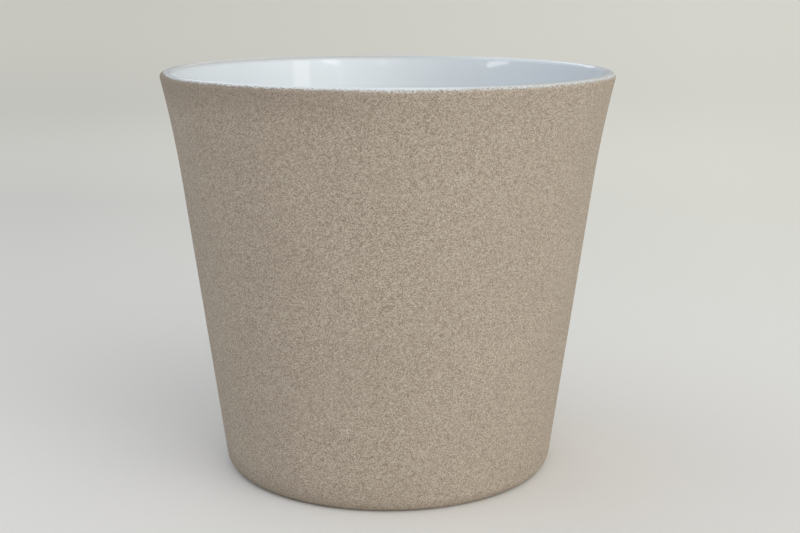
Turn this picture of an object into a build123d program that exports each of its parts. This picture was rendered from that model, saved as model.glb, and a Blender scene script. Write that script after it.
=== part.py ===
from build123d import *

import os
from math import atan2, cos, pi, radians, sin, tan

# A round cachepot of fired earthenware, glazed white inside and coated with sand outside.
# It is a solid of revolution about Z and stands on its foot ring at Z = 0.
# Sizes are in millimetres and angles in degrees.

# Finished outside, over the sand coat and the glaze
rim_diameter = 190.0  # widest point, on the rim
base_diameter = 141.6  # where the straight wall would meet the table
height = 170.5  # table to the top of the rim
rim_flare = 2.1  # how far the rim stands out beyond the straight taper
flare_height = 46.0  # below the top, where the wall starts to bend outwards

# Fired clay body
wall_thickness = 3.6
floor_thickness = 5.0  # above the hollow under the base
base_rounding = 6.0  # outside, between the wall and the foot
floor_rounding = 9.0  # inside, between the floor and the wall
foot_width = 9.0  # flat ring that stands on the table
foot_hollow = 2.5  # depth of the hollow inside the ring
foot_rounding = 0.8  # edges of the hollow

# Finishes on the clay
glaze_thickness = 0.4
coat_thickness = 0.6
coat_clearance = 0.4  # from the table up to the lower edge of the coat
seam_angle = 40.0  # where coat and glaze meet on the lip, outwards from its top

# The wall has one thickness, so it is drawn from the line along its middle.
# That line leans outwards, bends into the flare and ends at the centre of the round lip.
lip_radius = wall_thickness / 2
lip_centre = Vector(
    rim_diameter / 2 - coat_thickness - lip_radius,
    height - glaze_thickness - lip_radius,
)
lean = atan2(rim_diameter / 2 - rim_flare - base_diameter / 2, lip_centre.Y)
wall_direction = Vector(sin(lean), cos(lean))
wall_foot = Vector(base_diameter / 2 - (coat_thickness + lip_radius) / cos(lean), 0)
flare_start = wall_foot + wall_direction * ((height - flare_height) / cos(lean))
lip_direction = TangentArc(flare_start, lip_centre, tangent=wall_direction) % 1
floor_top = foot_hollow + floor_thickness


def outwards(direction):
    """Unit vector square to a direction up the wall, pointing away from the pot's axis."""
    return Vector(direction.Y, -direction.X)


def wall_points(offset, level):
    """Foot, bend and lip of the line that runs beside the wall's middle, starting at a level."""
    side = outwards(wall_direction) * offset
    foot = wall_foot + side
    start = foot + wall_direction * ((level - foot.Y) / cos(lean))
    return start, flare_start + side, lip_centre + outwards(lip_direction) * offset


def nearest_corner(sketch, point):
    """The corner of a sketch at a known point."""
    return sketch.vertices().sort_by_distance(point)[0]


def pot_section(growth):
    """Half section of the pot, without the hollow, with a finish of one thickness all over it."""
    reach = lip_radius + growth
    base_level = -growth
    floor_level = floor_top + growth
    outer_foot, outer_bend, outer_lip = wall_points(reach, base_level)
    inner_foot, inner_bend, inner_lip = wall_points(-reach, floor_level)
    with BuildSketch() as section:
        with BuildLine():
            Line(outer_foot, outer_bend)
            TangentArc(outer_bend, outer_lip, tangent=wall_direction)
            TangentArc(outer_lip, inner_lip, tangent=lip_direction)
            TangentArc(inner_lip, inner_bend, tangent=-lip_direction)
            Polyline(inner_bend, inner_foot, (0, floor_level), (0, base_level), outer_foot)
        make_face()
        fillet(nearest_corner(section, outer_foot), base_rounding + growth)
        fillet(nearest_corner(section, inner_foot), floor_rounding - growth)
    return section.sketch


def clay_section():
    """Half section of the bare clay, with the hollow that leaves a foot ring under it."""
    outer_foot = wall_points(lip_radius, 0)[0]
    ring_outside = outer_foot.X - base_rounding / tan((pi / 2 + lean) / 2)
    ring_inside = ring_outside - foot_width
    ring_edge = (ring_inside, 0)
    hollow_corner = (ring_inside, foot_hollow)
    with BuildSketch() as section:
        add(pot_section(0))
        with BuildLine():
            Polyline((0, 0), ring_edge, hollow_corner, (0, foot_hollow), close=True)
        make_face(mode=Mode.SUBTRACT)
        for corner in (ring_edge, hollow_corner):
            fillet(nearest_corner(section, corner), foot_rounding)
    return section.sketch


def side_of_wall(far_radius, level):
    """All that lies on one side of the wall's middle and of the seam on the lip, above a level."""
    start = wall_points(0, level)[0]
    seam_direction = Vector(sin(radians(seam_angle)), cos(radians(seam_angle)))
    seam_end = lip_centre + seam_direction * (wall_thickness + coat_thickness + glaze_thickness)
    with BuildSketch() as region:
        with BuildLine():
            Line(start, flare_start)
            TangentArc(flare_start, lip_centre, tangent=wall_direction)
            Polyline(lip_centre, seam_end, (far_radius, seam_end.Y), (far_radius, level), start)
        make_face()
    return region.sketch


def finish_section(thickness, region):
    """Half section of a finish that lies on the clay within a region."""
    return (pot_section(thickness) - pot_section(0)) & region


def turned(section):
    """Solid made by turning a half section once about the pot's axis."""
    return revolve(Plane.XZ * section, axis=Axis.Z)


outside = side_of_wall(rim_diameter, coat_clearance)
inside = side_of_wall(0, floor_top - floor_thickness / 2)

pieces = {
    "clay_body": turned(clay_section()),
    "inner_glaze": turned(finish_section(glaze_thickness, inside)),
    "outer_coat": turned(finish_section(coat_thickness, outside)),
}

os.makedirs("parts", exist_ok=True)
for name, solid in pieces.items():
    solid.label = name
    export_step(solid, f"parts/{name}.step")
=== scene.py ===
import math

import bpy
from bpy.props import FloatProperty, FloatVectorProperty, PointerProperty
from bpy.types import Operator, Panel, PropertyGroup
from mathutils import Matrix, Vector, noise


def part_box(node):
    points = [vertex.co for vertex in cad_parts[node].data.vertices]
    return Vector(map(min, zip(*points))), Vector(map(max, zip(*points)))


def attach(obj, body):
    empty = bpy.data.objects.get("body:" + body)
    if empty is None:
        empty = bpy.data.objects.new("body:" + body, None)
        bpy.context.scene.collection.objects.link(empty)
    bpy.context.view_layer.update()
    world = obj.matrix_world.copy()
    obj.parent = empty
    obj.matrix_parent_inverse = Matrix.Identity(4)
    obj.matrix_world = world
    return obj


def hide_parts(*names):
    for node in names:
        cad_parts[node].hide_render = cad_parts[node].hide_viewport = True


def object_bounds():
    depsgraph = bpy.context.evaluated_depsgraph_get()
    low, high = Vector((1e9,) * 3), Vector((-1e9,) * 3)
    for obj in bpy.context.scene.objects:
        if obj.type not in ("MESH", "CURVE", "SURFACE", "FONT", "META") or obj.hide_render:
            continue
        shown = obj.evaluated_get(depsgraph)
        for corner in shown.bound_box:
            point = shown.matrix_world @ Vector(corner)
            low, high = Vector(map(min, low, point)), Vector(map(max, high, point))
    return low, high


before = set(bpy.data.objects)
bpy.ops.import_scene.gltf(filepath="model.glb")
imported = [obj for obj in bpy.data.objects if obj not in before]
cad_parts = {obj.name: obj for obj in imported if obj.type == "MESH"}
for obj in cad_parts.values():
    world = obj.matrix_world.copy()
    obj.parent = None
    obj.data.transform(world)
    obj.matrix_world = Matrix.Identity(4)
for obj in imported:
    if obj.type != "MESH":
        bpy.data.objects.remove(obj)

bl_info = {
    "name": "Sand-coated cachepot",
    "version": (1, 0, 0),
    "blender": (4, 5, 0),
    "location": "3D View > Sidebar > Cachepot",
    "description": "Dresses a round cachepot in white glaze and sand and sets it on a pale studio sweep",
    "category": "Object",
}

CAD_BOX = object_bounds()
FLOOR_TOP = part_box("inner_glaze")[0].z
COAT_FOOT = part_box("outer_coat")[0].z
MM = 0.001
MERGE = 0.00001  # metres between points that become one
SMOOTH_ANGLE = math.radians(50)  # sharper edges than this stay sharp
# Steps of each turned piece round the axis
GLAZE_STEPS = 288
COAT_STEPS = 512
SWEEP_STEPS = 96
# Settings that several shader nodes share
SMOOTH = {"interpolation_type": "SMOOTHSTEP"}
RGBA = {"data_type": "RGBA"}
# Directions from the axis in which the lip's glaze is greyed, partly as thin glaze and partly as painted
# shade
BACK_LEFT = (-0.6, 0.8, 0)
NEAR_RIGHT = (0.8, -0.6, 0)


def linear(code):
    """Linear RGB of an sRGB hex colour."""
    channels = [int(code[i:i + 2], 16) / 255 for i in (1, 3, 5)]
    return [c / 12.92 if c <= 0.04045 else ((c + 0.055) / 1.055) ** 2.4 for c in channels]


def length(name, description, default):
    """A size of the pot or its stage, in metres."""
    return FloatProperty(name=name, description=description, default=default, unit="LENGTH", precision=5)


def angle(name, description, degrees):
    """An angle that the panel shows in degrees."""
    return FloatProperty(name=name, description=description, default=math.radians(degrees), subtype="ANGLE")


def colour(name, description, code):
    """A colour given as an sRGB hex value."""
    return FloatVectorProperty(name=name, description=description, default=linear(code), subtype="COLOR",
                               min=0, max=1)


class PotSizes(PropertyGroup):
    """Sizes of the finished pot, the same as those of its solids but for the glaze on the lip."""
    rim_radius: length("Rim radius", "Axis to the widest point of the rim", CAD_BOX[1].x)
    height: length("Height", "Table to the top of the rim", CAD_BOX[1].z)
    base_radius: length("Base radius", "Where the straight wall would meet the table", 70.8 * MM)
    rim_flare: length("Rim flare", "How far the rim stands out beyond the straight taper", 2.1 * MM)
    flare_height: length("Flare height", "Below the top, where the wall starts to bend outwards", 46 * MM)
    wall_thickness: length("Wall", "Thickness of the clay wall", 3.6 * MM)
    base_rounding: length("Base rounding", "Radius outside, between the wall and the foot", 6 * MM)
    floor_rounding: length("Floor rounding", "Radius inside, between the floor and the wall", 9 * MM)
    floor_top: length("Floor", "Table to the top of the clay floor", FLOOR_TOP)
    glaze: length("Glaze", "Thickness of the glaze", 0.4 * MM)
    lip_glaze: length("Glaze on the lip", "Thickness of the glaze where it runs thin over the lip", 0.36 * MM)
    coat: length("Coat", "Thickness of the sand coat", 0.6 * MM)
    coat_foot: length("Coat foot", "Table to the lower edge of the sand coat", COAT_FOOT)


class FinishSettings(PropertyGroup):
    """Grain and colours of the sand, the glaze and the clay."""
    grain: length("Grain", "Width of a grain of sand", 0.26 * MM)
    relief: length("Relief", "Depth of the uneven sand surface", 0.03 * MM)
    swell: length("Swell", "Width of a bump in the uneven sand surface", 1.3 * MM)
    edge: angle("Sand edge", "Where the sand ends on most of the lip, outwards from its top", 37)
    edge_right: angle("Sand edge, right", "Where the sand ends on the right half of the lip", 39)
    edge_left: angle("Sand edge, left", "Where the sand ends at the left end of the lip", 4)
    fringe: length("Fringe", "Width over which the sand thins out towards its edge", 1.1 * MM)
    fringe_right: length("Fringe, right", "Width of the fringe on the right half of the lip", 1.6 * MM)
    sand: colour("Sand", "Most grains of the coat", "#AFA190")
    pale_grain: colour("Pale grains", "Quartz grains in the coat", "#C9BEAF")
    # Dark grains, and also the colour of the painted shade in the sand coat
    dark_grain_and_shade: colour("Dark grains", "Dark mineral grains in the coat", "#85796C")
    glaze: colour("Glaze", "White glaze at full thickness", "#DCE2E5")
    # Greys the lip's glaze, partly as real thin glaze over the clay and partly as painted shade
    thin_and_shaded_glaze: colour("Thin glaze", "White glaze greyed by the clay under it", "#BCBEBD")
    clay: colour("Clay", "Bare fired clay", "#CDB99E")


class StageSettings(PropertyGroup):
    """Camera, sweep and light."""
    camera_place: FloatVectorProperty(name="Camera", description="Where the camera stands", unit="LENGTH",
                                      default=(0.00499, -0.57365, 0.21152))
    camera_dip: angle("Dip", "How far the camera looks down", 12.425)
    camera_roll: angle("Roll", "How far the camera leans to one side", -0.065)
    lens: FloatProperty(name="Lens", description="Focal length in millimetres", default=60.725)
    sweep_radius: length("Sweep", "Flat part of the round sweep", 16.0)
    sweep_curve: length("Sweep curve", "Radius with which the sweep turns up", 4.0)
    # Painted light and shade: one paper, toned lighter near the pot and greyer on the left and far off
    near_paper: colour("Near paper", "Pale sweep round the pot", "#E7E5E1")
    left_paper_shade: colour("Left paper", "Sweep beside and behind the pot on the left", "#C9C8C3")
    right_paper_shade: colour("Right paper", "Sweep beside and behind the pot on the right", "#E0DED4")
    far_left_paper_shade: colour("Far left paper", "Far end of the sweep on the left", "#D6D3C8")
    far_right_paper_shade: colour("Far right paper", "Far end of the sweep on the right", "#E4E2D6")
    fan: length("Fan", "From the pot forwards to the point from which the paper's tones fan out", 0.9)
    daylight: colour("Daylight", "Soft light from all round", "#FAFCFF")
    daylight_strength: FloatProperty(name="Daylight strength", default=0.4,
                                     description="Even part of the light from all round")
    lamp_distance: length("Lamp distance", "Pot to the lamps", 1.35)


def add_node(tree, kind, settings=None, values=None, links=None, stops=None):
    """Add a node with its own settings, unlinked inputs, linked inputs and the stops of its colour ramp."""
    node = tree.nodes.new(kind)
    for name, value in (settings or {}).items():
        setattr(node, name, value)
    for name, value in (values or {}).items():
        node.inputs[name].default_value = value
    for name, socket in (links or {}).items():
        tree.links.new(socket, node.inputs[name])
    for number, (place, shade) in enumerate(stops or []):
        ramp = node.color_ramp.elements
        stop = ramp[number] if number < 2 else ramp.new(place)
        stop.position = place
        stop.color = (*shade, 1)
    return node


def new_material(name):
    """An empty material, its tree and its shader."""
    material = bpy.data.materials.new(name)
    material.use_nodes = True
    tree = material.node_tree
    return material, tree, tree.nodes["Principled BSDF"]


class WallLine:
    """The line along the middle of the pot's wall, in a half section: x outwards, y up."""

    def __init__(self, sizes):
        self.half = sizes.wall_thickness / 2
        self.lip = Vector((sizes.rim_radius - sizes.coat - self.half, sizes.height - sizes.glaze - self.half))
        self.lean = math.atan2(sizes.rim_radius - sizes.rim_flare - sizes.base_radius, self.lip.y)
        self.up = Vector((math.sin(self.lean), math.cos(self.lean)))
        self.out = Vector((math.cos(self.lean), -math.sin(self.lean)))
        self.foot = Vector((sizes.base_radius - (sizes.coat + self.half) / self.up.y, 0))
        self.bend = self.foot + self.up * ((sizes.height - sizes.flare_height) / self.up.y)
        chord = self.lip - self.bend
        self.flare = chord.length_squared / (2 * chord.dot(self.out))
        self.turn = 2 * math.atan2(chord.dot(self.out), chord.dot(self.up))
        self.outer_end = math.pi / 2 + self.lean + self.turn
        self.inner_end = self.outer_end - math.pi
        self.corner_end = math.pi / 2 - self.lean

    def beside(self, offset, level):
        """The point at a level on the straight line that runs beside the wall's middle."""
        start = self.foot + self.out * offset
        return start + self.up * ((level - start.y) / self.up.y)

    def wall(self, offset, start, spacing):
        """Points up the line beside the wall's middle, after a start on it and up to the lip."""
        end = self.bend + self.out * offset
        count = max(1, round((end - start).length / spacing))
        points = [start.lerp(end, (i + 1) / count) for i in range(count)]
        centre = self.bend + self.out * self.flare
        radius = self.flare - offset
        count = max(6, round(radius * self.turn / spacing))
        for i in range(1, count + 1):
            lean = self.lean + self.turn * i / count
            points.append(centre - radius * Vector((math.cos(lean), -math.sin(lean))))
        return points

    def round_lip(self, start, end, radius_at, count):
        """Points over the lip, from one angle to another outwards from its top."""
        angles = [start + (end - start) * i / count for i in range(count + 1)]
        return [self.lip + radius_at(a) * Vector((math.sin(a), math.cos(a))) for a in angles]

    def corner(self, centre, radius, start, count):
        """Points round a corner between a level floor and the wall, from an angle outwards from below."""
        angles = [start + (self.corner_end - start) * i / count for i in range(count + 1)]
        return [centre + radius * Vector((math.sin(a), -math.cos(a))) for a in angles]


def draw_outline(name, outline):
    """Start a piece in edit mode as a half section, extruded point by point."""
    bpy.ops.object.select_all(action="DESELECT")
    bpy.ops.mesh.primitive_plane_add(size=MM, location=(outline[0].x, 0, outline[0].y))
    piece = bpy.context.object
    piece.name = name
    piece.data.name = name
    bpy.ops.object.transform_apply(location=True, rotation=True, scale=True)
    bpy.ops.object.mode_set(mode="EDIT")
    bpy.ops.mesh.select_all(action="SELECT")
    bpy.ops.mesh.merge(type="CENTER")
    for here, there in zip(outline, outline[1:]):
        step = there - here
        bpy.ops.mesh.extrude_region_move(TRANSFORM_OT_translate={"value": (step.x, 0, step.y)})
    return piece


def turn_outline(piece, steps):
    """Turn the half section in edit mode once round the pot's axis and close its seam and poles."""
    bpy.ops.mesh.select_all(action="SELECT")
    bpy.ops.mesh.remove_doubles(threshold=MERGE)
    bpy.ops.object.mode_set(mode="OBJECT")
    turn = piece.modifiers.new("turn", "SCREW")
    turn.steps = steps
    turn.render_steps = steps
    bpy.ops.object.modifier_apply(modifier=turn.name)
    bpy.ops.object.mode_set(mode="EDIT")
    bpy.ops.mesh.select_all(action="SELECT")
    bpy.ops.mesh.remove_doubles(threshold=MERGE)
    bpy.ops.mesh.normals_make_consistent(inside=False)
    bpy.ops.object.mode_set(mode="OBJECT")


def finish_piece(piece, node, material):
    """Smooth a piece, give it its material and put it in place of its solid."""
    bpy.ops.object.shade_smooth_by_angle(angle=SMOOTH_ANGLE)
    piece.data.materials.append(material)
    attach(piece, "root")
    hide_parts(node)


def ease(value, start, end):
    """0 before start, 1 after end and a smooth step between them."""
    share = min(1, max(0, (value - start) / (end - start)))
    return share * share * (3 - 2 * share)


def glossy_glaze(finish, sizes):
    """Opaque white earthenware glaze, dipped and fired: a wet gloss on a faintly uneven surface.
    It is very slightly blue, and at the back left and near right of the lip it is greyed, partly by thin
    glaze over the clay and partly as painted shade."""
    material, tree, shader = new_material("fired white glaze")
    place = add_node(tree, "ShaderNodeTexCoord").outputs["Object"]
    level = add_node(tree, "ShaderNodeSeparateXYZ", links={"Vector": place}).outputs["Z"]
    lip = add_node(tree, "ShaderNodeMapRange", SMOOTH,
                   {"From Min": sizes.height - 2.4 * MM, "From Max": sizes.height - 0.4 * MM},
                   {"Value": level}).outputs["Result"]
    # The lip is greyed at the back left and at the near right, partly as thin glaze and partly as painted
    # shade
    behind = add_node(tree, "ShaderNodeVectorMath", {"operation": "DOT_PRODUCT"}, {1: BACK_LEFT},
                      {0: place}).outputs["Value"]
    back = add_node(tree, "ShaderNodeMapRange", SMOOTH,
                    {"From Min": 0.2 * sizes.rim_radius, "From Max": 0.9 * sizes.rim_radius},
                    {"Value": behind}).outputs["Result"]
    across = add_node(tree, "ShaderNodeVectorMath", {"operation": "DOT_PRODUCT"}, {1: NEAR_RIGHT},
                      {0: place}).outputs["Value"]
    right = add_node(tree, "ShaderNodeMapRange", SMOOTH,
                     {"From Min": 0.7 * sizes.rim_radius, "From Max": sizes.rim_radius},
                     {"Value": across}).outputs["Result"]
    most = add_node(tree, "ShaderNodeMath", {"operation": "MAXIMUM"}, links={0: back, 1: right}).outputs[0]
    thin_shaded = add_node(tree, "ShaderNodeMath", {"operation": "MULTIPLY"}, links={0: most, 1: lip}).outputs[0]
    # Cloudy shades about 25 mm across, where the dip lay thicker
    cloud = add_node(tree, "ShaderNodeTexNoise", values={"Scale": 1 / (25 * MM), "Detail": 3},
                     links={"Vector": place}).outputs["Fac"]
    white = add_node(tree, "ShaderNodeValToRGB", links={"Fac": cloud},
                     stops=[(0.3, [c * 0.97 for c in finish.glaze]), (0.7, finish.glaze)]).outputs["Color"]
    mixed = add_node(tree, "ShaderNodeMix", RGBA,
                     {"B": (*finish.thin_and_shaded_glaze, 1)}, {"Factor": thin_shaded, "A": white})
    tree.links.new(mixed.outputs["Result"], shader.inputs["Base Color"])
    # Orange peel of the fired glaze, waves about 7 mm long
    peel = add_node(tree, "ShaderNodeTexNoise", values={"Scale": 1 / (7 * MM), "Detail": 1},
                    links={"Vector": place}).outputs["Fac"]
    bump = add_node(tree, "ShaderNodeBump", values={"Strength": 0.25, "Distance": 0.02 * MM},
                    links={"Height": peel})
    tree.links.new(bump.outputs["Normal"], shader.inputs["Normal"])
    shader.inputs["Roughness"].default_value = 0.04
    shader.inputs["IOR"].default_value = 1.5
    return material


def sprayed_sand(finish, sizes):
    """Mineral sand in a matt binder, sprayed on the fired clay: dull, rough to the touch, no gloss.
    Each grain has its own tint, a few grains are dark, and painted shade darkens the gaps between grains, the
    foot and the left under the lip."""
    material, tree, shader = new_material("sprayed sand coat")
    place = add_node(tree, "ShaderNodeTexCoord").outputs["Object"]
    grains = add_node(tree, "ShaderNodeTexVoronoi", values={"Scale": 1 / finish.grain},
                      links={"Vector": place})
    chance = add_node(tree, "ShaderNodeSeparateColor", links={"Color": grains.outputs["Color"]})
    tint = add_node(tree, "ShaderNodeValToRGB", links={"Fac": chance.outputs["Red"]},
                    stops=[(0.22, finish.dark_grain_and_shade), (0.78, finish.pale_grain), (0.36, finish.sand),
                           (0.64, finish.sand)]).outputs["Color"]
    # Painted shade in the gaps between the grains
    gap_shade = add_node(tree, "ShaderNodeMapRange", values={"From Min": 0.35, "From Max": 0.8, "To Max": 0.2},
                   links={"Value": grains.outputs["Distance"]}).outputs["Result"]
    gap_shaded = add_node(tree, "ShaderNodeMix", RGBA,
                      {"B": (*finish.dark_grain_and_shade, 1)}, {"Factor": gap_shade, "A": tint}).outputs["Result"]
    # Faint clouds about 40 mm across, from passes of the spray
    cloud = add_node(tree, "ShaderNodeTexNoise", values={"Scale": 1 / (40 * MM), "Detail": 2},
                     links={"Vector": place}).outputs["Fac"]
    pass_shade = add_node(tree, "ShaderNodeMapRange", links={"Value": cloud},
                          values={"From Min": 0.3, "From Max": 0.7, "To Max": 0.1}).outputs["Result"]
    clouded = add_node(tree, "ShaderNodeMix", RGBA,
                       {"B": (*finish.dark_grain_and_shade, 1)}, {"Factor": pass_shade, "A": gap_shaded}).outputs["Result"]
    # Painted shade: the coat is darker round the foot, most of all on the left, and under the lip on the left
    way = add_node(tree, "ShaderNodeSeparateXYZ", links={"Vector": place}).outputs
    left = add_node(tree, "ShaderNodeMapRange", SMOOTH,
                    {"From Min": 0.3 * sizes.rim_radius, "From Max": -0.6 * sizes.rim_radius},
                    {"Value": way["X"]}).outputs["Result"]
    lip_shade = add_node(tree, "ShaderNodeMapRange", SMOOTH,
                         {"From Min": sizes.height - 18 * MM, "From Max": sizes.height - 3 * MM,
                          "To Max": 0.4},
                         {"Value": way["Z"]}).outputs["Result"]
    foot_shade_depth = add_node(tree, "ShaderNodeMapRange", values={"To Min": 0.12, "To Max": 0.42},
                         links={"Value": left}).outputs["Result"]
    foot_shade = add_node(tree, "ShaderNodeMapRange", SMOOTH,
                       {"From Min": 14 * MM, "From Max": 1 * MM},
                       {"Value": way["Z"], "To Max": foot_shade_depth}).outputs["Result"]
    painted_shade = add_node(tree, "ShaderNodeMath", {"operation": "MULTIPLY_ADD"},
                     links={0: lip_shade, 1: left, 2: foot_shade}).outputs[0]
    shaded_coat = add_node(tree, "ShaderNodeMix", RGBA,
                     {"B": (*finish.dark_grain_and_shade, 1)}, {"Factor": painted_shade, "A": clouded}).outputs["Result"]
    # At its edge on the lip the sand thins out, and the glaze shows between the last grains
    cover = add_node(tree, "ShaderNodeAttribute", {"attribute_name": "sand_cover"}).outputs["Fac"]
    bare = add_node(tree, "ShaderNodeMath", {"operation": "GREATER_THAN"},
                    links={0: chance.outputs["Green"], 1: cover}).outputs["Value"]
    # On the right that glaze is greyed, partly as thin glaze and partly as painted shade
    thin_shaded_fringe = [0.4 * thin_shaded + 0.6 * full for thin_shaded, full in zip(finish.thin_and_shaded_glaze, finish.glaze)]
    shown = add_node(tree, "ShaderNodeMix", RGBA,
                     {"A": (*thin_shaded_fringe, 1), "B": (*finish.glaze, 1)}, {"Factor": left}).outputs["Result"]
    fringe = add_node(tree, "ShaderNodeMix", RGBA,
                      links={"Factor": bare, "A": shaded_coat, "B": shown}).outputs["Result"]
    tree.links.new(fringe, shader.inputs["Base Color"])
    bump = add_node(tree, "ShaderNodeBump", {"invert": True}, {"Strength": 0.5, "Distance": 0.12 * MM},
                    {"Height": grains.outputs["Distance"]})
    tree.links.new(bump.outputs["Normal"], shader.inputs["Normal"])
    shader.inputs["Roughness"].default_value = 0.95
    shader.inputs["Specular IOR Level"].default_value = 0.25
    return material


def bare_clay(finish):
    """Biscuit-fired earthenware, wiped before firing: chalky and matt, with fine pores and darker specks."""
    material, tree, shader = new_material("bare fired earthenware")
    place = add_node(tree, "ShaderNodeTexCoord").outputs["Object"]
    # Tone of the clay in patches about 12 mm across
    patch = add_node(tree, "ShaderNodeTexNoise", values={"Scale": 1 / (12 * MM), "Detail": 4},
                     links={"Vector": place}).outputs["Fac"]
    tone = add_node(tree, "ShaderNodeValToRGB", links={"Fac": patch},
                    stops=[(0.3, [c * 0.84 for c in finish.clay]), (0.7, finish.clay)]).outputs["Color"]
    # Pores and iron specks about 1.4 mm apart
    specks = add_node(tree, "ShaderNodeTexVoronoi", values={"Scale": 1 / (1.4 * MM)}, links={"Vector": place})
    speck = add_node(tree, "ShaderNodeMapRange", values={"From Min": 0.28, "From Max": 0.12, "To Max": 0.5},
                     links={"Value": specks.outputs["Distance"]}).outputs["Result"]
    specked = add_node(tree, "ShaderNodeMix", {"data_type": "RGBA", "blend_type": "MULTIPLY"},
                       {"B": (*finish.dark_grain_and_shade, 1)}, {"Factor": speck, "A": tone}).outputs["Result"]
    tree.links.new(specked, shader.inputs["Base Color"])
    bump = add_node(tree, "ShaderNodeBump", values={"Strength": 0.4, "Distance": 0.1 * MM},
                    links={"Height": specks.outputs["Distance"]})
    tree.links.new(bump.outputs["Normal"], shader.inputs["Normal"])
    shader.inputs["Roughness"].default_value = 0.88
    shader.inputs["Specular IOR Level"].default_value = 0.3
    return material


def matt_paper(stage):
    """Uncoated background paper: a pale matt sheet with a trace of fibre, with painted shade that greys it on
    the left and towards its far edge.
    """
    material, tree, shader = new_material("matt background paper")
    place = add_node(tree, "ShaderNodeTexCoord").outputs["Object"]
    way = add_node(tree, "ShaderNodeSeparateXYZ", links={"Vector": place}).outputs
    fibre = add_node(tree, "ShaderNodeTexNoise", values={"Scale": 1 / (6 * MM), "Detail": 3},
                     links={"Vector": place}).outputs["Fac"]
    # Painted light and shade: the tones fan out from a point in front of the pot, so they change evenly up to
    # the far edge
    depth = add_node(tree, "ShaderNodeMath", {"operation": "ADD"}, {1: stage.fan}, {0: way["Y"]}).outputs[0]
    ahead = add_node(tree, "ShaderNodeMath", {"operation": "MAXIMUM"}, {1: 0.6 * stage.fan},
                     {0: depth}).outputs[0]
    slant = add_node(tree, "ShaderNodeMath", {"operation": "DIVIDE"},
                     links={0: way["X"], 1: ahead}).outputs[0]
    right = add_node(tree, "ShaderNodeMapRange", values={"From Min": -0.2, "From Max": 0.2},
                     links={"Value": slant}).outputs["Result"]
    nearness = add_node(tree, "ShaderNodeMath", {"operation": "DIVIDE"}, {0: 0.8 * stage.fan},
                        {1: ahead}).outputs[0]
    left_tone = add_node(tree, "ShaderNodeValToRGB", links={"Fac": nearness},
                         stops=[(0.15, stage.far_left_paper_shade), (0.78, stage.near_paper),
                                (0.46, stage.left_paper_shade)]).outputs["Color"]
    right_tone = add_node(tree, "ShaderNodeValToRGB", links={"Fac": nearness},
                          stops=[(0.15, stage.far_right_paper_shade), (0.78, stage.near_paper),
                                 (0.46, stage.right_paper_shade)]).outputs["Color"]
    paper = add_node(tree, "ShaderNodeMix", RGBA,
                     links={"Factor": right, "A": left_tone, "B": right_tone}).outputs["Result"]
    trace = add_node(tree, "ShaderNodeMapRange", values={"From Min": 0.7, "From Max": 0.3, "To Max": 0.05},
                     links={"Value": fibre}).outputs["Result"]
    shade = add_node(tree, "ShaderNodeMix", RGBA, {"B": (*stage.far_left_paper_shade, 1)},
                     {"Factor": trace, "A": paper})
    tree.links.new(shade.outputs["Result"], shader.inputs["Base Color"])
    shader.inputs["Roughness"].default_value = 0.9
    shader.inputs["Specular IOR Level"].default_value = 0.1
    return material


class CACHEPOT_OT_clay_body(Operator):
    """Give the clay body its bare fired surface, which shows under the foot"""
    bl_idname = "cachepot.clay_body"
    bl_label = "Clay body"

    def execute(self, context):
        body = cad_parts["clay_body"]
        body.material_slots[0].material = bare_clay(context.scene.cachepot_finish)
        return {"FINISHED"}


class CACHEPOT_OT_inner_glaze(Operator):
    """Turn the glaze that lines the pot and runs over its lip"""
    bl_idname = "cachepot.inner_glaze"
    bl_label = "Inner glaze"

    def execute(self, context):
        sizes = context.scene.cachepot_sizes
        line = WallLine(sizes)
        surface = line.half + sizes.glaze
        lip_end = math.radians(76)
        corner_centre = line.beside(-(line.half + sizes.floor_rounding),
                                    sizes.floor_top + sizes.floor_rounding)

        def over_clay(turn):
            return line.half + sizes.glaze + (sizes.lip_glaze - sizes.glaze) * ease(turn, -1.2, 0)

        floor = [Vector((corner_centre.x * share, sizes.floor_top + sizes.glaze)) for share in (0, 0.35, 0.7)]
        corner = line.corner(corner_centre, sizes.floor_rounding - sizes.glaze, start=0, count=12)
        wall = line.wall(-surface, corner[-1], spacing=6 * MM)
        lip = line.round_lip(line.inner_end, lip_end, over_clay, count=24)[1:]
        lip_back = line.round_lip(lip_end, line.inner_end, lambda turn: line.half, count=12)
        corner_back = line.corner(corner_centre, sizes.floor_rounding, start=0, count=8)
        wall_back = line.wall(-line.half, corner_back[-1], spacing=20 * MM)[-2::-1]
        floor_back = [Vector((0, sizes.floor_top))]
        outline = floor + corner + wall + lip + lip_back + wall_back + corner_back[::-1] + floor_back
        piece = draw_outline("glaze_lining", outline)
        turn_outline(piece, GLAZE_STEPS)
        material = glossy_glaze(context.scene.cachepot_finish, sizes)
        finish_piece(piece, "inner_glaze", material)
        return {"FINISHED"}


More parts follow.
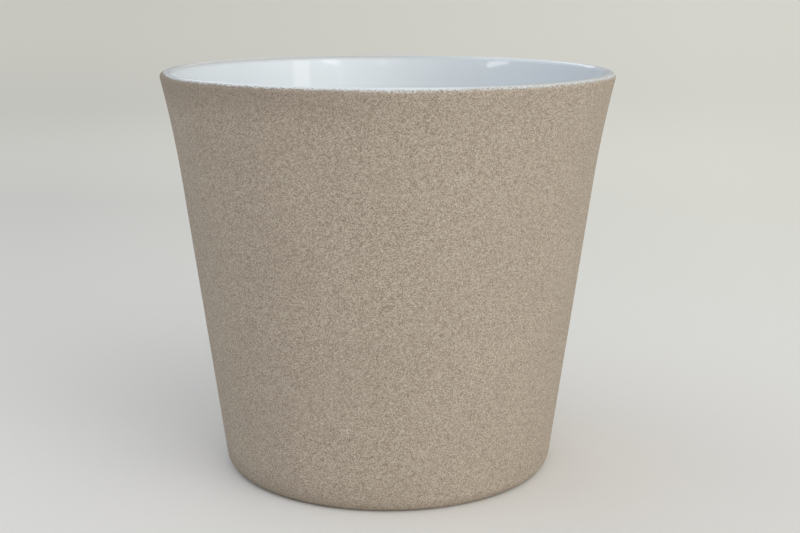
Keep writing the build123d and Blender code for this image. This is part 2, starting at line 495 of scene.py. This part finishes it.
class CACHEPOT_OT_outer_coat(Operator):
    """Turn the sand coat, end it unevenly on the lip and roughen it"""
    bl_idname = "cachepot.outer_coat"
    bl_label = "Outer coat"

    def execute(self, context):
        sizes = context.scene.cachepot_sizes
        finish = context.scene.cachepot_finish
        line = WallLine(sizes)
        surface = line.half + sizes.coat
        crest = line.half + sizes.glaze
        lip_end = math.radians(-8)
        corner_centre = line.beside(line.half - sizes.base_rounding, sizes.base_rounding)

        def coat_radius(turn):
            return crest + (surface - crest) * ease(turn, 0.3, 1.3)

        def under_coat(turn):
            return line.half + (sizes.lip_glaze + 0.02 * MM) * ease(-turn, -1.5, -1.2)

        def corner(radius, count):
            start = math.acos((corner_centre.y - sizes.coat_foot) / radius)
            return line.corner(corner_centre, radius, start, count)

        corner_out = corner(sizes.base_rounding + sizes.coat, count=5)
        wall = line.wall(surface, corner_out[-1], spacing=1.1 * MM)
        lip = line.round_lip(line.outer_end, lip_end, coat_radius, count=12)[1:]
        outside = corner_out + wall + lip
        lip_back = line.round_lip(lip_end, line.outer_end, under_coat, count=7)
        corner_back = corner(sizes.base_rounding, count=4)
        wall_back = line.wall(line.half, corner_back[-1], spacing=40 * MM)[-2::-1]
        outline = outside + lip_back + wall_back + corner_back[::-1] + outside[:1]
        piece = draw_outline("sand_coat_skin", outline)

        # The outside of the section carries the grain and is marked before it is turned
        bpy.ops.object.mode_set(mode="OBJECT")
        for number, point in enumerate(piece.data.vertices):
            point.select = number < len(outside)
        bpy.ops.object.mode_set(mode="EDIT")
        bpy.ops.object.vertex_group_assign_new()
        piece.vertex_groups.active.name = "outside"
        turn_outline(piece, COAT_STEPS)

        self.end_on_lip(piece, line, lip_end, finish)
        self.roughen(piece, finish)
        finish_piece(piece, "outer_coat", sprayed_sand(finish, sizes))
        return {"FINISHED"}

    def edge_of_sand(self, turn, finish):
        """Angle at which the sand ends on the lip and the width of its fringe, at a turn from the front."""
        right = ease(turn, -0.3, -0.05) * (1 - ease(turn, 1.6, 2.6))
        left = ease(abs(turn + math.pi / 2), 0.6, 0.15)
        # Slow waves and fine raggedness of the edge, in radians
        drift = 0.05 * math.sin(5 * turn + 1.3) + 0.04 * math.sin(11 * turn + 0.4)
        ragged = 0.11 * noise.noise((90 * math.cos(turn), 90 * math.sin(turn), 0.5))
        level = (finish.edge + (finish.edge_right - finish.edge) * right
                 + (finish.edge_left - finish.edge) * left)
        return level + drift + ragged, finish.fringe + (finish.fringe_right - finish.fringe) * right

    def end_on_lip(self, piece, line, lip_end, finish):
        """Slide the sand over the lip back to its uneven edge, and note how far each point is from it."""
        cover = piece.data.attributes.new("sand_cover", "FLOAT", "POINT")
        for number, point in enumerate(piece.data.vertices):
            radius = math.hypot(point.co.x, point.co.y)
            across = Vector((radius, point.co.z)) - line.lip
            angle_now = math.atan2(across.x, across.y)
            cover.data[number].value = 1.0
            off_lip = across.length > 1.5 * line.half
            below_lip = angle_now > line.outer_end + 0.001
            if off_lip or below_lip:
                continue
            edge, fringe = self.edge_of_sand(math.atan2(point.co.x, -point.co.y), finish)
            share = (line.outer_end - angle_now) / (line.outer_end - lip_end)
            angle_new = line.outer_end - share * (line.outer_end - edge)
            moved = line.lip + across.length * Vector((math.sin(angle_new), math.cos(angle_new)))
            point.co = (point.co.x * moved.x / radius, point.co.y * moved.x / radius, moved.y)
            cover.data[number].value = min(1, 0.1 + 0.9 * (angle_new - edge) * across.length / fringe)

    def roughen(self, piece, finish):
        """Sink the outside by up to the depth of the relief, so that only the grains reach its full size."""
        texture = bpy.data.textures.new("uneven sand", type="CLOUDS")
        texture.noise_scale = finish.swell
        texture.noise_depth = 1
        relief = piece.modifiers.new("relief", "DISPLACE")
        relief.texture = texture
        relief.texture_coords = "LOCAL"
        relief.vertex_group = "outside"
        relief.strength = finish.relief
        relief.mid_level = 0.9
        bpy.ops.object.modifier_apply(modifier=relief.name)


class CACHEPOT_OT_stage(Operator):
    """Lay the round paper sweep, hang the soft lights and set up the camera"""
    bl_idname = "cachepot.stage"
    bl_label = "Stage"

    # Broad glows in the daylight: turn from the front to the right, rise, narrowness, strength and colour
    glows = (
        (45, 10, 5, 1.8, "#FFFDF8"),
        (45, 45, 6, 0.55, "#FFFDF8"),
        (0, 45, 6, 0.34, "#FFFFFF"),
        (0, 10, 5, 0.25, "#FFFFFF"),
        (125, 20, 5, 0.35, "#FFFBF2"),
        (-100, 42, 5, 0.84, "#DEEBFF"),
    )
    # Lamps that shine in the glaze: turn, rise, width, height and radiance
    lamps = {
        "window_right": (55.5, 22, 0.23, 0.24, 1.8),
        "slim_window_right": (30.5, 23, 0.05, 0.24, 0.9),
        "lamp_right": (36.5, 27.7, 0.2, 0.05, 3),
        "lamp_front": (4.2, 28.3, 0.12, 0.05, 1.6),
        "lamp_left": (-70, 24.6, 0.32, 0.05, 4),
        "window_back_left": (-168, 33, 0.6, 0.5, 1.2),
    }

    def execute(self, context):
        stage = context.scene.cachepot_stage
        self.lay_sweep(stage)
        self.light(context.scene, stage)
        self.aim_camera(context.scene, stage)
        context.scene.view_settings.view_transform = "Standard"
        return {"FINISHED"}

    def lay_sweep(self, stage):
        """Turn the round sheet of paper, flat under the pot and rising at its far edge."""
        rise = math.radians(20)
        parts = 12
        outline = [Vector((0, 0)), Vector((stage.sweep_radius, 0))]
        for i in range(1, parts + 1):
            turn = rise * i / parts
            outline.append(Vector((stage.sweep_radius + stage.sweep_curve * math.sin(turn),
                                   stage.sweep_curve * (1 - math.cos(turn)))))
        sweep = draw_outline("floor_sweep", outline)
        turn_outline(sweep, SWEEP_STEPS)
        if sweep.data.polygons[0].normal.z < 0:
            sweep.data.flip_normals()
        bpy.ops.object.shade_smooth()
        sweep.data.materials.append(matt_paper(stage))

    def towards(self, turn, rise):
        """Direction from the pot, by a turn from the front to the right and a rise, in degrees."""
        turn = math.radians(turn)
        rise = math.radians(rise)
        return Vector((math.sin(turn) * math.cos(rise), -math.cos(turn) * math.cos(rise), math.sin(rise)))

    def light(self, scene, stage):
        """Fill the world with even daylight and its glows, and hang the lamps round the pot."""
        world = bpy.data.worlds.new("soft daylight")
        world.use_nodes = True
        tree = world.node_tree
        sky = add_node(tree, "ShaderNodeTexCoord").outputs["Generated"]
        even = [c * stage.daylight_strength for c in stage.daylight]
        total = None
        for turn, rise, narrowness, strength, code in self.glows:
            facing = add_node(tree, "ShaderNodeVectorMath", {"operation": "DOT_PRODUCT"},
                              {1: self.towards(turn, rise)}, {0: sky}).outputs["Value"]
            lit = add_node(tree, "ShaderNodeMath", {"operation": "MAXIMUM"}, {1: 0.0},
                           {0: facing}).outputs[0]
            glow = add_node(tree, "ShaderNodeMath", {"operation": "POWER"}, {1: narrowness},
                            {0: lit}).outputs[0]
            shade = [c * strength for c in linear(code)]
            added = add_node(tree, "ShaderNodeVectorMath", {"operation": "MULTIPLY_ADD"},
                             {1: shade, 2: even}, {0: glow})
            if total:
                tree.links.new(total, added.inputs[2])
            total = added.outputs["Vector"]
        tree.links.new(total, tree.nodes["Background"].inputs["Color"])
        scene.world = world
        middle = (CAD_BOX[0] + CAD_BOX[1]) / 2
        for name, (turn, rise, width, tall, radiance) in self.lamps.items():
            towards = self.towards(turn, rise)
            bpy.ops.object.light_add(type="AREA", location=middle + stage.lamp_distance * towards,
                                     rotation=towards.to_track_quat("Z", "Y").to_euler())
            lamp = bpy.context.object
            lamp.name = name
            lamp.visible_camera = False
            lamp.data.shape = "RECTANGLE"
            lamp.data.size = width
            lamp.data.size_y = tall
            lamp.data.energy = radiance * math.pi * width * tall

    def aim_camera(self, scene, stage):
        """Add the camera and look through it."""
        turned = (math.pi / 2 - stage.camera_dip, stage.camera_roll, 0)
        bpy.ops.object.camera_add(location=stage.camera_place, rotation=turned)
        scene.camera = bpy.context.object
        scene.camera.data.lens = stage.lens
        scene.camera.data.sensor_fit = "HORIZONTAL"
        scene.camera.data.sensor_width = 36


class CACHEPOT_PT_panel(Panel):
    """Sizes, finishes and the steps that build the pot"""
    bl_idname = "CACHEPOT_PT_panel"
    bl_label = "Cachepot"
    bl_space_type = "VIEW_3D"
    bl_region_type = "UI"
    bl_category = "Cachepot"

    def draw(self, context):
        for settings in SETTINGS:
            box = self.layout.box()
            group = getattr(context.scene, settings)
            for name in group.bl_rna.properties.keys():
                if name not in ("rna_type", "name"):
                    box.prop(group, name)
        for step in STEPS:
            self.layout.operator(step.bl_idname)


SETTINGS = {
    "cachepot_sizes": PotSizes,
    "cachepot_finish": FinishSettings,
    "cachepot_stage": StageSettings,
}
STEPS = (CACHEPOT_OT_clay_body, CACHEPOT_OT_inner_glaze, CACHEPOT_OT_outer_coat, CACHEPOT_OT_stage)


def register():
    for group in (*SETTINGS.values(), *STEPS, CACHEPOT_PT_panel):
        bpy.utils.register_class(group)
    for name, group in SETTINGS.items():
        setattr(bpy.types.Scene, name, PointerProperty(type=group))


def unregister():
    for name in SETTINGS:
        delattr(bpy.types.Scene, name)
    for group in (CACHEPOT_PT_panel, *reversed(STEPS), *reversed(SETTINGS.values())):
        bpy.utils.unregister_class(group)


def main():
    register()
    bpy.ops.cachepot.clay_body()
    bpy.ops.cachepot.inner_glaze()
    bpy.ops.cachepot.outer_coat()
    bpy.ops.cachepot.stage()


if __name__ == "__main__":
    main()
